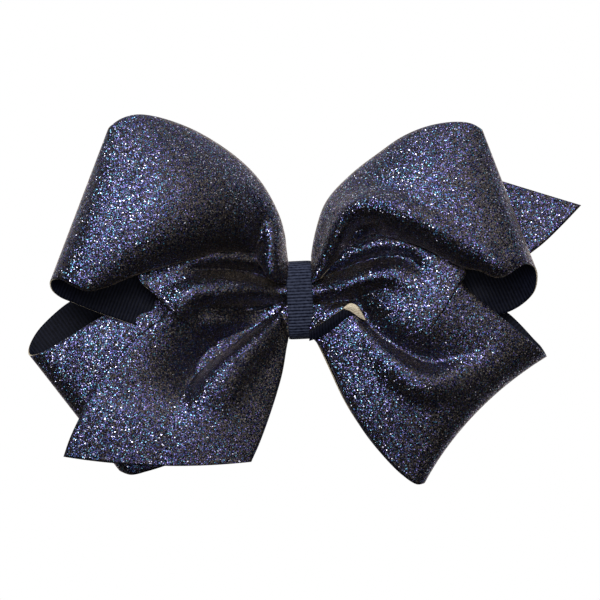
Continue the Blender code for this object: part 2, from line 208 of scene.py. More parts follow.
def glitter_material():
    """Flakes of random tilt and colour on a dark brown-black film."""
    mat = plain_material("glitter_fabric", (0.02, 0.025, 0.08), 0.27)
    n = Nodes(mat)
    place = n.add("TexCoord").outputs["Object"]
    flakes = n.add("TexVoronoi", {"Vector": place, "Scale": FLAKES_PER_METRE}, feature="F1")
    other = n.add("TexWhiteNoise", {"Vector": flakes.outputs["Position"]}).outputs["Color"]
    tint = n.add("SeparateColor", {"Color": flakes.outputs["Color"]}).outputs["Red"]
    n.put(n.shader.inputs["Base Color"], n.ramp(tint, GLITTER_PALETTE, "CONSTANT"))
    n.put(n.shader.inputs["Metallic"],
          n.ramp(tint, [(0.0, (0, 0, 0)), (FILM_SHARE, (1, 1, 1))], "CONSTANT"))
    film_gloss, flake_gloss = (0.46, 0.46, 0.46), (0.28, 0.28, 0.28)
    n.put(n.shader.inputs["Roughness"],
          n.ramp(tint, [(0.0, film_gloss), (FILM_SHARE, flake_gloss)], "CONSTANT"))
    spread = n.vector("SUBTRACT", n.vector("ADD", flakes.outputs["Color"], other), (1.0, 1.0, 1.0))
    tilt = n.vector("SCALE", spread, scale=FLAKE_TILT)
    normal = n.vector("ADD", n.add("NewGeometry").outputs["Normal"], tilt)
    n.put(n.shader.inputs["Normal"], n.vector("NORMALIZE", normal))
    n.shader.inputs["Specular IOR Level"].default_value = 0.5
    n.shader.inputs["Specular Tint"].default_value = (1.0, 0.87, 0.76, 1)
    n.shader.inputs["Sheen Weight"].default_value = 0.14
    n.shader.inputs["Sheen Roughness"].default_value = 0.3
    n.shader.inputs["Sheen Tint"].default_value = (0.95, 0.76, 0.58, 1)
    return mat


def backing_material():
    """The glitter fabric's woven cream back, which shows on its cut edges."""
    mat = plain_material("woven_backing", (0.55, 0.47, 0.34), 0.85)
    n = Nodes(mat)
    place = n.add("TexCoord").outputs["Object"]
    weave = n.add("TexVoronoi", {"Vector": place, "Scale": 2600.0}, feature="F1")
    n.put(n.shader.inputs["Base Color"],
          n.ramp(weave.outputs["Distance"], [(0.1, (0.82, 0.73, 0.57)), (0.7, (0.38, 0.31, 0.21))]))
    bump = n.add("Bump", {"Height": weave.outputs["Distance"], "Strength": 0.5, "Distance": 0.0002})
    n.put(n.shader.inputs["Normal"], bump.outputs["Normal"])
    return mat


def grosgrain_material(name, dark, light, gloss, sheen=0.02):
    """Ribbed navy ribbon: fine warp threads over cross ribs. U runs along the ribbon, in metres.

    A narrow strip gets the same V range as the wide ribbon, so its warp threads are finer.
    """
    mat = plain_material(name, dark, 0.55)
    n = Nodes(mat)
    n.shader.inputs["Specular IOR Level"].default_value = gloss
    uv = n.add("UVMap", uv_map="UVMap").outputs["UV"]
    axes = n.add("SeparateXYZ", {"Vector": uv})
    rib = n.math("SINE", n.math("MULTIPLY", axes.outputs["X"], 2 * math.pi / (RIB_PITCH * MM)))
    warp = n.math("SINE", n.math("MULTIPLY", axes.outputs["Y"], 2 * math.pi / (0.28 * MM)))
    slub = n.add("TexNoise", {"Vector": n.add("TexCoord").outputs["Object"], "Scale": 900.0, "Detail": 3.0})
    # The rib term makes the colour darker in the grooves between ribs and lighter on their crests: painted
    # shade. The warp and slub terms are the threads' own tone.
    shade = n.multiply_add(rib, 0.26, n.multiply_add(warp, 0.07, slub.outputs["Fac"]))
    n.put(n.shader.inputs["Base Color"], n.ramp(shade, [(0.15, dark), (0.85, light)]))
    height = n.math("ADD", n.math("MULTIPLY", rib, 0.5), n.math("MULTIPLY", warp, 0.12))
    bump = n.add("Bump", {"Height": height, "Strength": 0.6, "Distance": 0.00012})
    n.put(n.shader.inputs["Normal"], bump.outputs["Normal"])
    n.shader.inputs["Sheen Weight"].default_value = sheen
    n.shader.inputs["Sheen Roughness"].default_value = 0.4
    n.shader.inputs["Sheen Tint"].default_value = (0.7, 0.75, 1.0, 1)
    return mat


# ------------------------------------------------------------------ curves and sheets
def catmull_rom(points, per_span=24):
    """A smooth curve through the points, finely sampled, with the index of each point on it."""
    pts = np.array(points, float)
    ends = np.vstack([2 * pts[0] - pts[1], pts, 2 * pts[-1] - pts[-2]])
    samples, knots = [pts[0]], [0]
    for i in range(1, len(ends) - 2):
        p0, p1, p2, p3 = ends[i - 1:i + 3]
        gaps = [max(np.linalg.norm(b - a), 1e-6) ** 0.5 for a, b in ((p0, p1), (p1, p2), (p2, p3))]
        t0, t1 = 0.0, gaps[0]
        t2 = t1 + gaps[1]
        t3 = t2 + gaps[2]
        for k in range(1, per_span + 1):
            t = t1 + (t2 - t1) * k / per_span
            a1 = (t1 - t) / (t1 - t0) * p0 + (t - t0) / (t1 - t0) * p1
            a2 = (t2 - t) / (t2 - t1) * p1 + (t - t1) / (t2 - t1) * p2
            a3 = (t3 - t) / (t3 - t2) * p2 + (t - t2) / (t3 - t2) * p3
            b1 = (t2 - t) / (t2 - t0) * a1 + (t - t0) / (t2 - t0) * a2
            b2 = (t3 - t) / (t3 - t1) * a2 + (t - t1) / (t3 - t1) * a3
            samples.append((t2 - t) / (t2 - t1) * b1 + (t - t1) / (t2 - t1) * b2)
        knots.append(len(samples) - 1)
    return np.array(samples), knots


def resample(curve, count):
    """The curve at equal steps of length."""
    steps = np.r_[0, np.cumsum(np.linalg.norm(np.diff(curve, axis=0), axis=1))]
    wanted = np.linspace(0, steps[-1], count)
    return np.stack([np.interp(wanted, steps, curve[:, k]) for k in range(3)], axis=1)


def as_xyz(points):
    """Edge tables are written (x, z, y), as one sees them from the front, with depth last."""
    return [(x, y, z) for x, z, y in points]


def section_grid(low, high, bulge):
    """Sections from the low edge to the high edge, bowed by bulge (negative: to the front)."""
    v = np.linspace(0, 1, COLUMNS + 1)[None, :, None]
    grid = low[:, None, :] * (1 - v) + high[:, None, :] * v
    grid[:, :, 1] += bulge[:, None] * (4 * v * (1 - v))[:, :, 0] ** 0.8
    return grid


def loop_grid(loop):
    """Front layer, fold and back layer of a loop, as sections from wrap to wrap."""
    parts = []
    halves = (("front", loop["front_bulge"]), ("back", loop["back_bulge"]))
    edges = {}
    for edge in ("low", "high"):
        front, back = loop[edge]
        curve, knots = catmull_rom(as_xyz(front + back))
        fold = knots[len(front) - 1]
        edges[edge] = {"front": curve[:fold + 1], "back": curve[fold:]}
    counts = {}
    for half, _ in halves:
        length = max(np.linalg.norm(np.diff(edges[e][half], axis=0), axis=1).sum() for e in edges)
        counts[half] = int(length / ROW_SPACING)
    for half, bulge in halves:
        count = counts[half]
        low = resample(edges["low"][half], count)
        high = resample(edges["high"][half], count)
        swell = np.sin(np.pi * np.linspace(0, 1, count) ** (1.2 if half == "front" else 0.8)) * bulge
        layer = section_grid(low, high, swell)
        fold_side = np.linspace(0, 1, count) if half == "front" else np.linspace(1, 0, count)
        middle = (layer[-1 if half == "front" else 0].mean(axis=0))[[0, 2]]
        inward = -middle / np.linalg.norm(middle)
        v = np.linspace(0, 1, COLUMNS + 1)
        hollow = loop.get("fold_hollow", 0) * (fold_side ** 5)[:, None] * (4 * v * (1 - v))[None, :]
        layer[:, :, 0] += hollow * inward[0]
        layer[:, :, 2] += hollow * inward[1]
        parts.append(layer)
    return np.concatenate([parts[0], parts[1][1:]]), counts["front"]


def tail_grid(tail):
    """Sections of a tail, from the wrap to its cut end."""
    low, _ = catmull_rom(as_xyz(tail["low"]))
    high, _ = catmull_rom(as_xyz(tail["high"]))
    length = max(np.linalg.norm(np.diff(e, axis=0), axis=1).sum() for e in (low, high))
    count = int(length / ROW_SPACING)
    t = np.linspace(0, 1, count)
    grid = section_grid(resample(low, count), resample(high, count), tail["bulge"] * np.sin(np.pi / 2 * t))
    v = np.linspace(0, 1, COLUMNS + 1)
    grid[:, :, 2] -= tail["end_sag"] * (t ** 4)[:, None] * (4 * v * (1 - v))[None, :]
    return grid


def emboss(grid, folds):
    """Raise pleats on a sheet. A fold is a line of (x, z, height, width), seen from the front.

    A positive height stands to the front. left and right widen a fold's flanks, as one walks along it.
    """
    shift = np.zeros(grid.shape[:2])
    for fold in folds:
        line = np.array(fold["line"], float)
        curve, _ = catmull_rom(line, 14)
        best = np.full(grid.shape[:2], 1e9)
        height = np.zeros(grid.shape[:2])
        width = np.ones(grid.shape[:2])
        for a, b in zip(curve, curve[1:]):
            d = b[:2] - a[:2]
            span = max(d @ d, 1e-9)
            px = grid[:, :, 0] - a[0]
            pz = grid[:, :, 2] - a[1]
            t = np.clip((px * d[0] + pz * d[1]) / span, 0, 1)
            dx, dz = px - t * d[0], pz - t * d[1]
            dist = np.hypot(dx, dz)
            near = dist < best
            right = d[0] * dz - d[1] * dx < 0
            best = np.where(near, dist, best)
            height = np.where(near, a[2] + (b[2] - a[2]) * t, height)
            flank = np.where(right, fold.get("right", 1.0), fold.get("left", 1.0))
            width = np.where(near, (a[3] + (b[3] - a[3]) * t) * flank, width)
        sharpness = fold.get("sharpness", RIDGE_SHARPNESS if line[:, 2].mean() > 0 else GROOVE_SHARPNESS)
        shift += height * np.exp(-(best / width) ** sharpness)
    grid[:, :, 1] -= shift
    return grid


def gather(layer, depth, lean):
    """Pleats that fan out from the wrap, over a layer whose last section is at the wrap.

    lean shifts them back (positive) or to the front, as a share of their depth.
    """
    columns = layer.shape[1]
    steps = np.linalg.norm(np.diff(layer[::-1, columns // 2], axis=0), axis=1)
    distance = np.r_[0, np.cumsum(steps)][::-1]
    fade = np.exp(-(distance / GATHER_REACH) ** 2)
    wave = np.sin(2 * math.pi * GATHER_PLEATS * np.linspace(0, 1, columns)) + lean
    layer[:, :, 1] += depth * fade[:, None] * wave[None, :]


def strip_mesh(name, grid, closed, materials):
    """A quad mesh over the sections, with a UV map of metres along and across the ribbon."""
    rows, cols, _ = grid.shape
    along = np.r_[0, np.cumsum(np.linalg.norm(np.diff(grid[:, cols // 2], axis=0), axis=1))]
    verts = (grid.reshape(-1, 3) * MM).tolist()
    faces, uvs = [], []
    last = rows if closed else rows - 1
    for i in range(last):
        j = (i + 1) % rows
        for k in range(cols - 1):
            faces.append((i * cols + k, j * cols + k, j * cols + k + 1, i * cols + k + 1))
            u0, u1 = along[i], along[i + 1] if i + 1 < rows else along[i] + ROW_SPACING
            v0, v1 = k / (cols - 1) * RIBBON_WIDTH / MM, (k + 1) / (cols - 1) * RIBBON_WIDTH / MM
            uvs += [(u0, v0), (u1, v0), (u1, v1), (u0, v1)]
    mesh = bpy.data.meshes.new(name)
    mesh.from_pydata(verts, [], faces)
    layer = mesh.uv_layers.new(name="UVMap")
    layer.data.foreach_set("uv", (np.array(uvs) * MM).ravel())
    for mat in materials:
        mesh.materials.append(mat)
    mesh.shade_smooth()
    obj = bpy.data.objects.new(name, mesh)
    bpy.context.scene.collection.objects.link(obj)
    return obj


def layer_of(name, grid, closed, side, thickness, materials):
    """One fabric layer on the outside (1) or inside (-1) of the ribbon's middle surface."""
    obj = strip_mesh(name, grid, closed, materials)
    shell = obj.modifiers.new("thickness", "SOLIDIFY")
    shell.thickness = thickness * MM
    shell.offset = side * 1.06
    if len(materials) > 1:
        shell.material_offset_rim = 1
        shell.material_offset = 1
    return obj


# ------------------------------------------------------------------ the bow's edges, (x, z, y)
UPPER_LEFT = {
    "low": ([(0, 7, -17.6), (-5.2, 6.6, -18.6), (-8.5, 6.7, -20.5), (-11.5, 8.5, -21.5),
             (-14.3, 12.8, -20.5),
             (-16.5, 15.5, -19.5), (-19.5, 17.6, -19), (-24.5, 18.3, -20.5), (-31.3, 17.8, -23.5),
             (-40, 15.3, -27), (-50, 12.5, -30.5), (-61.6, 8.9, -34), (-72, 4.6, -36), (-78, 3.4, -37),
             (-83, 5.2, -37.5),
             (-88, 7.6, -36), (-91.4, 6.8, -33)],
            [(-91.2, 3.5, -29.5), (-88.5, 1, -27), (-84, -1, -24.5), (-76, -4.3, -21.5), (-66, -7.8, -18.5),
             (-56, -11, -16.5), (-38, -12, -14.5), (-20, -8, -13), (-5, -1, -12.5), (0, 0, -12.5)]),
    "high": ([(0, 11.5, -15.5), (-4.2, 13.2, -15.2), (-5.3, 18, -15.6), (-6, 24, -16.2), (-8.3, 32, -17.5),
              (-15, 44, -20.5), (-26, 54.5, -23.5), (-43, 64.2, -27), (-59, 68.2, -29.5),
              (-66, 66.5, -30.5),
              (-70.3, 63, -30)],
             [(-67.5, 62.5, -26.5), (-55, 64, -23.5), (-40, 60, -20), (-22, 48.5, -16.5), (-9, 30, -14),
              (-4.5, 14, -12.8), (0, 10, -12.5)]),
    "front_bulge": -11.0, "back_bulge": 2.5,
}
UPPER_RIGHT = {
    "low": ([(0, 7, -17.6), (4.6, 6.4, -18.4), (9.3, 11, -18.6), (15, 16.8, -19.5), (20.5, 22, -21),
             (28, 25, -23.5), (37.3, 22.4, -25.5), (44.8, 20, -27), (54, 15.3, -29.5), (60.5, 12, -31.5),
             (64.8, 11.2, -33), (67.5, 10.3, -34), (69.9, 8.9, -35), (72.9, 8.4, -36), (75.9, 9.4, -36.5),
             (79.4, 11.8, -36.5), (82.4, 13.2, -35.5), (86.2, 11.8, -31.5)],
            [(87.4, 8, -28), (86.6, 3, -25), (82.8, -1.4, -22), (78, -4.3, -20), (73.5, -5.6, -18.5),
             (60, -8, -16.5), (35, -7, -14.5), (15, -3, -13), (5, 0, -12.5), (0, 0, -12.5)]),
    "high": ([(0, 11.5, -15.5), (4.2, 13.2, -15.2), (4.6, 17, -15.6), (6.2, 25.7, -16.2), (10, 36.4, -18),
              (19, 46.3, -21), (30.6, 55.2, -24), (38, 60.2, -26), (47.4, 64, -28), (57.3, 65.5, -29.5),
              (63.3, 64.8, -30.2), (66.9, 62.5, -29.5)],
             [(64, 62, -26), (52, 61.5, -23), (38, 56.5, -20), (20, 43, -16.5), (8, 28, -14),
              (4.5, 14, -12.8), (0, 10, -12.5)]),
    "front_bulge": -9.0, "back_bulge": 0.6,
}
LOWER_RIGHT = {
    "low": ([(0, -12, -15.2), (4.6, -13.5, -15.6), (5.6, -14.9, -16), (9, -19, -17.5), (12.3, -26, -18.5),
             (17.6, -38, -19.5), (23, -47.6, -20), (30.6, -57.4, -20), (38, -65, -19.5),
             (43.5, -68.6, -18.5),
             (46.3, -68, -16.5)],
            [(44.5, -67.3, -14.3), (38.2, -64, -12.8), (30, -56.6, -11.8), (22, -46.2, -11),
             (16.5, -37, -10.5),
             (11, -25, -9.5), (7.5, -17.5, -9), (4.6, -12.5, -8.6), (0, -8, -8.5)]),
    "high": ([(0, 6, -17.8), (4.6, 5.6, -18.3), (9, 10, -17.4), (15, 17.5, -17.6), (21, 24, -18),
              (29, 28, -19), (39, 27, -21.5), (49, 22.5, -24), (56, 17.5, -26), (60.5, 13.5, -27),
              (61.5, 10.5, -27.2), (59.5, 7.4, -27.2), (61.5, 4.3, -27), (66.3, 0.2, -26.8),
              (72.7, -4.9, -26.3), (82, -12.3, -24.8), (89, -18, -21.8), (91.9, -20.7, -17.8)],
             [(90.3, -17.6, -15.2), (87.5, -14.5, -14), (82.4, -8.9, -13), (77.8, -4.7, -12.5),
              (68, 1, -12),
              (50, 6, -11), (30, 7, -10), (12, 3, -9), (4.6, 0, -8.7), (0, -1, -8.5)]),
    "front_bulge": -3.6, "back_bulge": 2.0,
    "fold_hollow": 4.5,
}
LOWER_LEFT = {
    "low": ([(0, -10, -10.5), (-4.6, -12.5, -10.8), (-9, -25, -12), (-18, -40, -13), (-32, -54, -13.5),
             (-48, -61, -13.8), (-57, -64, -13.6), (-63.4, -65.4, -12.5), (-67.8, -63.6, -10.2)],
            [(-64.5, -63.6, -8.2), (-52, -59.5, -6.8), (-32, -48, -6.3), (-15, -28, -6.8), (-5, -11, -8),
             (0, -8, -8.5)]),
    "high": ([(0, 9, -10.5), (-5, 6, -11), (-20, 6, -12.5), (-40, 4, -14), (-56, 0, -15),
              (-66, -3.6, -15.5),
              (-74.6, -6.7, -15.5), (-86.6, -13.9, -14.8), (-96.6, -19.5, -13.2), (-101.2, -20.6, -11)],
             [(-102, -18.2, -9), (-99.6, -12.6, -7.2), (-93.7, -6, -5.8), (-86, 0, -5.2), (-74, 5, -5.2),
              (-50, 8, -5.5), (-25, 6, -6.5), (-5, 1, -8), (0, -1, -8.5)]),
    "front_bulge": -3.5, "back_bulge": 1.5,
}
TAIL_A = {
    "low": [(0, -12, -15.2), (-4.2, -13.6, -15.6), (-4.9, -16, -16.5), (-6.7, -27, -19), (-9.5, -37, -21),
            (-14.7, -52, -23), (-18.2, -60, -23.5)],
    "high": [(0, 6, -17.8), (-5.2, 5.9, -18), (-11, 13, -17), (-18, 24, -16.5), (-27, 27, -17.5),
             (-37, 23, -20.5), (-50, 16.5, -24.5), (-58.5, 12, -26.5), (-60.5, 9, -27),
             (-56.5, 5, -27.3), (-52, 1.3, -27),
             (-48.8, -0.4, -26), (-48.2, -2.2, -25.5), (-51, -6.4, -26.5), (-57, -11, -27.5),
             (-63, -16, -28), (-70, -24.5, -28), (-76, -32, -27.5), (-81, -42.5, -27), (-85, -51, -26),
             (-87.5, -58, -25)],
    "bulge": -3.0, "end_sag": 2.2,
}
TAIL_B = {
    "low": [(0, -10, -10.5), (5, -8, -10.8), (25, -8, -12), (50, -5, -13), (70, 4, -14), (85.7, 17, -15),
            (91, 21.2, -15.5), (98, 28, -16), (105, 35.4, -16.5)],
    "high": [(0, 9, -10.5), (5, 13, -11), (8, 26, -12), (14, 38, -13), (24, 48, -14), (40, 55.5, -15)],
    "bulge": 1.2, "end_sag": 0.0,
}

# ------------------------------------------------------------------ pleats: (x, z, height, width)
UPPER_RIGHT_FOLDS = [
    {"line": [(5, 5.5, 0.6, 1.8), (7, 9.8, 1.5, 2.4), (10.8, 18, 2.8, 3), (15, 27, 3.6, 4),
              (20, 33.5, 4.4, 5),
              (30, 34, 4.6, 6), (38, 30.5, 4.2, 6.5), (49, 24, 3.4, 6.5), (57, 20.5, 2.6, 6),
              (66.7, 15.5, 2, 5),
              (74, 13, 1.6, 4), (80, 14.5, 1, 3.5), (84, 18, 0.2, 3.5)]},
    {"line": [(13, 14, -1, 1.5), (17.5, 21, -3, 2), (22, 27, -4, 3), (27, 29, -2, 3)]},
]
UPPER_LEFT_FOLDS = [
    {"line": [(-7.5, 9, 0.8, 2.2), (-9.8, 12, 1.4, 2.6), (-10, 18, 1.3, 3), (-9, 26, 0.8, 3.5)]},
    {"line": [(-19, 13, -0.5, 2), (-17.5, 16, -3, 2.2), (-16, 20, -4.5, 2.8), (-15, 26, -4, 4),
              (-17, 34, -2, 6),
              (-20, 43, -0.2, 8)], "sharpness": 1.6},
]
LOWER_RIGHT_FOLDS = [
    {"line": [(14, 13.5, 0.8, 2), (17, 15.3, 2, 2.4), (22, 17.8, 3.2, 2.8), (30, 20.2, 3.8, 3.2),
              (39.3, 19.8, 3.2, 3.5), (44, 17, 2, 4), (53, 13.5, 0.8, 5)]},
    {"line": [(5, 6.3, -1.5, 1.2), (7, 7.6, -3, 1.4), (15.8, 11.5, -5.5, 2.1), (25.6, 15.3, -6, 2.5),
              (34.4, 16.6, -5.5, 2.5), (41, 15.3, -4, 2.6), (44.2, 11.5, -2, 3), (46.5, 7, -0.2, 3)]},
    {"line": [(4.8, 2.7, 1.2, 2.2), (10, 3.6, 2.4, 2.6), (16, 5.3, 3.6, 3), (25.6, 8.7, 3.8, 3.4),
              (34.4, 9.8, 3, 4),
              (42, 8, 1.5, 5), (48, 4, 0.2, 5)]},
    {"line": [(28, -19, 0.5, 4), (35, -25, 2.2, 5), (45, -31, 3, 6), (56, -31, 2, 6), (68, -27, 0.2, 6)]},
    {"line": [(5.4, -1.1, -2, 1.1), (11, -0.8, -4, 1.5), (17.4, 0, -4.8, 1.9), (22, 1, -4.5, 2.2),
              (25.6, 2.7, -3.6, 2.3), (30, 5, -1.5, 2.5)]},
    {"line": [(21, -1, -2.5, 2.2), (25, -5, -3.5, 3)]},
    {"line": [(24.2, -7.5, -3, 1.6), (27.2, -11, -4, 1.8), (34.4, -16.8, -5.5, 2), (42, -21.4, -6.5, 2.3),
              (48.5, -23.5, -6, 2.6), (55.6, -22, -4, 3.2), (66, -18.5, -1.5, 4),
              (76, -15, -0.2, 5)], "left": 3.4, "sharpness": 1.6},
]
TAIL_A_FOLDS = [
    {"line": [(-16, 13.8, 1, 2), (-21, 15.3, 2.5, 2.6), (-30, 16, 3.5, 3), (-38.8, 14.9, 2.5, 3.4),
              (-46, 12.5, 0.8, 4)]},
    {"line": [(-6, 6, -2, 1.3), (-9.3, 7, -4, 1.7), (-15, 9.3, -6, 2.2), (-22.4, 10.8, -6, 2.5),
              (-31.7, 11.6, -4, 2.5), (-39.5, 11.5, -1.5, 2.5)]},
    {"line": [(-5, 2.2, 1.4, 2.8), (-12, 3, 3.4, 3.6), (-18.6, 3.6, 5.5, 4.2), (-27, 3.9, 7, 4.8),
              (-36.6, 3.4, 6.5, 5.4), (-45, -0.8, 4.5, 6), (-51, -5, 1.5, 6), (-57, -9, 0.2, 6)]},
    {"line": [(-20, -5.5, 0.3, 2), (-26, -7.5, 1.8, 3), (-32, -8.5, 2.2, 3.6), (-40, -7.5, 1, 4),
              (-47, -7, 0.2, 4)]},
    {"line": [(-5, 0.3, -1.5, 1.1), (-10, -1.8, -3.5, 1.8), (-15, -2.9, -5, 2.3), (-21, -3.4, -5, 2.6),
              (-27, -3.4, -3.6, 2.6), (-33, -3, -1.8, 2.6), (-39, -2.4, -0.6, 2.8)]},
    {"line": [(-8, -4.2, -2, 1.2), (-15, -9.2, -5.5, 1.5), (-22.4, -14.5, -9, 1.8), (-29, -19, -11, 2.1),
              (-35, -24, -11.5, 2.4), (-40.5, -30.5, -9, 3), (-44, -37, -4, 4), (-46, -45, -0.5, 6)],
     "right": 4.8, "sharpness": 1.6},
    {"line": [(-9, -9, 0.5, 3), (-14, -15, 2.5, 4.5), (-21, -22, 3.5, 5.5), (-28, -31, 2.5, 7),
              (-33, -41, 0.2, 8)]},
]


def build_ribbons(glitter, backing, lining):
    right, right_fold = loop_grid(UPPER_RIGHT)
    left, left_fold = loop_grid(UPPER_LEFT)
    right[:right_fold] = emboss(right[:right_fold], UPPER_RIGHT_FOLDS)
    left[:left_fold] = emboss(left[:left_fold], UPPER_LEFT_FOLDS)
    gather(right[right_fold:], **UPPER_GATHER)
    gather(left[left_fold:], **UPPER_GATHER)
    upper = np.concatenate([right, left[::-1][1:-1]])

    tail_a = emboss(tail_grid(TAIL_A), TAIL_A_FOLDS)
    loop, loop_fold = loop_grid(LOWER_RIGHT)
    loop[:loop_fold] = emboss(loop[:loop_fold], LOWER_RIGHT_FOLDS)
    other, other_fold = loop_grid(LOWER_LEFT)
    tail_b = tail_grid(TAIL_B)
    lower = np.concatenate([tail_a[::-1], loop[1:], other[::-1][1:], tail_b[1:]])
    gather(loop[loop_fold:], **LOWER_GATHER)
    gather(other[other_fold:], **LOWER_GATHER)
    lower = np.concatenate([tail_a[::-1], loop[1:], other[::-1][1:], tail_b[1:]])

    tab = build_tab(glitter, backing, lining)
    for name, grid, closed in (("upper", upper, True), ("lower", lower, False)):
        face = layer_of(f"{name}_ribbon_glitter_sheet", grid, closed, 1, GLITTER_THICKNESS,
                        [glitter, backing])
        inside = layer_of(f"{name}_ribbon_lining_sheet", grid, closed, -1, LINING_THICKNESS, [lining])
        for piece, node, slot in ((face, "glitter", "glitter_fabric"),
                                  (inside, "lining", "grosgrain_lining")):
            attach(piece, "bow")
            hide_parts(f"{name}_ribbon_{node}")


# ------------------------------------------------------------------ the turned-back edge by the wrap
TAB_FACE = [
    [(3.5, -1.5, -17.5), (10, -1.6, -18.6), (16, -1.6, -19.6), (18.5, -1.5, -20.4)],
    [(3.5, -6, -18.6), (9, -4.8, -20.8), (14, -3.2, -21.8), (17.5, -2.2, -22)],
    [(3.5, -11.5, -18.0), (9, -8, -21), (13, -5.3, -22.2), (16.7, -3.0, -22.4)],
]
TAB_STRIP = [
    [(3.5, -11.2, -17.6), (9, -7.7, -20.4), (13, -5.0, -21.6), (16.5, -2.9, -21.8), (20, -4.2, -21.4),
     (24, -7.3, -20)],
    [(3.5, -13, -17.6), (9, -10, -20.2), (14, -7.0, -21.2), (18, -5.4, -21.2), (21.5, -5.6, -20.8),
     (24, -7.4, -19.8)],
    [(3.5, -15.2, -16.4), (6, -14.3, -17.4), (12, -11.6, -19), (17.4, -7.9, -19.8), (21.8, -6.8, -19.4),
     (24.2, -7.6, -19)],
]
TAB_LIP = [
    [(16.4, -2.9, -22.4), (18.5, -1.4, -23), (20.7, -1.9, -23), (22.6, -4.4, -22), (24.2, -7.4, -20.4)],
    [(16.5, -3.0, -22.6), (18.9, -2.3, -23.4), (20.6, -3.1, -23.2), (22.4, -5.2, -22.2),
     (24.2, -7.4, -20.4)],
    [(16.7, -3.3, -22.3), (18.4, -3.8, -22.4), (20.2, -5.0, -22.0), (22.3, -6.5, -21.2),
     (24.2, -7.4, -20.4)],
]


def patch_grid(rows, along=60, across=24):
    """A smooth surface through rows of points."""
    lines = np.array([resample(catmull_rom(as_xyz(row))[0], along) for row in rows])
    columns = [resample(catmull_rom(lines[:, k])[0], across) for k in range(along)]
    return np.array(columns)


def build_tab(glitter, backing, lining):
    """The lower ribbon's edge turns back on itself beside the wrap and shows its lining and woven back."""
    pieces = []
    for name, rows, mat, side in (("tab_face", TAB_FACE, glitter, 1), ("tab_strip", TAB_STRIP, lining, 1),
                                  ("tab_lip", TAB_LIP, backing, 1)):
        grid = patch_grid(rows)[:, ::-1]
        rim = [mat, backing] if mat is glitter else [mat]
        piece = layer_of(f"ribbon_{name}", grid, False, side, 0.3, rim)
        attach(piece, "bow")
        pieces.append(piece)
    return pieces


# ------------------------------------------------------------------ the centre wrap
# ribbon_width is in metres. It is declared as 10 mm, the least a sheet may have, and modelled narrower.
WRAP = {"width": 9.5, "ribbon_width": 0.010,
        "half_height": 14.7, "half_depth": 8.7, "middle_y": -11.5, "roundness": 2.4,
        "tilt": math.radians(-2.6), "thickness": 0.5, "lap": math.radians(24), "lift": 1.4}


def superellipse(angle, half_depth, half_height, exponent):
    c, s = np.cos(angle), np.sin(angle)
    return (half_depth * np.sign(c) * np.abs(c) ** (2 / exponent),
            half_height * np.sign(s) * np.abs(s) ** (2 / exponent))


def build_wrap(material):
    """The ribbed band, its end lapped over its start behind."""
    w = WRAP
    angle = np.linspace(-w["lap"] / 2, 2 * math.pi + w["lap"] / 2, 4000)
    climb = np.clip((angle - math.pi) / (math.pi - w["lap"] / 2), 0, 1) ** 3
    y, z = superellipse(angle, w["half_depth"] - 0.1 + w["lift"] * climb, w["half_height"] - 0.1,
                        w["roundness"])
    path = np.stack([np.zeros_like(y), w["middle_y"] + y, z], axis=1)
    length = np.linalg.norm(np.diff(path, axis=0), axis=1).sum()
    rows = int(length / RIB_PITCH * 12)
    path = resample(path, rows)
    tangent = np.gradient(path, axis=0)
    tangent /= np.linalg.norm(tangent, axis=1)[:, None]
    outward = np.stack([np.zeros(rows), tangent[:, 2], -tangent[:, 1]], axis=1)
    along = np.linspace(0, length, rows)
    ribs = 0.2 * np.abs(np.sin(np.pi * along / RIB_PITCH)) ** 0.7 - 0.1
    path = path + outward * ribs[:, None]
    across = np.linspace(w["width"] / 2, -w["width"] / 2, 21)
    grid = np.repeat(path[:, None, :], len(across), axis=1)
    grid[:, :, 0] = across[None, :]
    edge = np.abs(across) / (w["width"] / 2)
    grid -= outward[:, None, :] * (0.25 * edge ** 8)[None, :, None]
    c, s = math.cos(w["tilt"]), math.sin(w["tilt"])
    x, zz = grid[:, :, 0].copy(), grid[:, :, 2].copy()
    grid[:, :, 0], grid[:, :, 2] = x * c + zz * s, -x * s + zz * c
    obj = layer_of("center_wrap_band", grid, False, 1, w["thickness"] - 0.1, [material])
    obj.modifiers["thickness"].offset = 1.0
    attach(obj, "bow")
    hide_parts("center_wrap")
    return obj


# ------------------------------------------------------------------ the clip, the thread and the glue
PIVOT = np.array([-13.0, -2.4, 0.0])
SPRING = {"radius": 1.1, "wire": 0.2, "turns": 3, "pitch": 0.8, "leg_x": -20.0}
THREAD = {"half_depth": 5.85, "half_height": 11.5, "middle_y": -12.5, "span": 2.4, "turns": 3, "twist": 1.5}
COVER = {"start": -12.0, "end": 28.0, "half_width": 4.4, "y": -5.1}
PAD = {"start": 8.0, "end": 26.5, "half_width": 3.2, "front": -3.7, "back": -2.9, "ridges": 12}


def tube_mesh(name, path, radius, material, sides=10):
    """A round wire or strand along a path, with its ends closed."""
    tangent = np.gradient(path, axis=0)
    tangent /= np.linalg.norm(tangent, axis=1)[:, None]
    normal = np.cross(tangent[0], (0.3, 0.5, 0.8))
    angle = np.linspace(0, 2 * math.pi, sides, endpoint=False)
    rings = []
    for place, along in zip(path, tangent):
        normal = normal - along * np.dot(normal, along)
        normal /= np.linalg.norm(normal)
        other = np.cross(along, normal)
        rings.append(place + radius * (np.cos(angle)[:, None] * normal + np.sin(angle)[:, None] * other))
    faces = [tuple(range(sides))[::-1], tuple(range((len(path) - 1) * sides, len(path) * sides))]
    for i in range(len(path) - 1):
        for k in range(sides):
            k2 = (k + 1) % sides
            faces.append((i * sides + k, i * sides + k2, (i + 1) * sides + k2, (i + 1) * sides + k))
    mesh = bpy.data.meshes.new(name)
    mesh.from_pydata((np.concatenate(rings) * MM).tolist(), [], faces)
    mesh.materials.append(material)
    mesh.shade_smooth()
    obj = bpy.data.objects.new(name, mesh)
    bpy.context.scene.collection.objects.link(obj)
    return obj


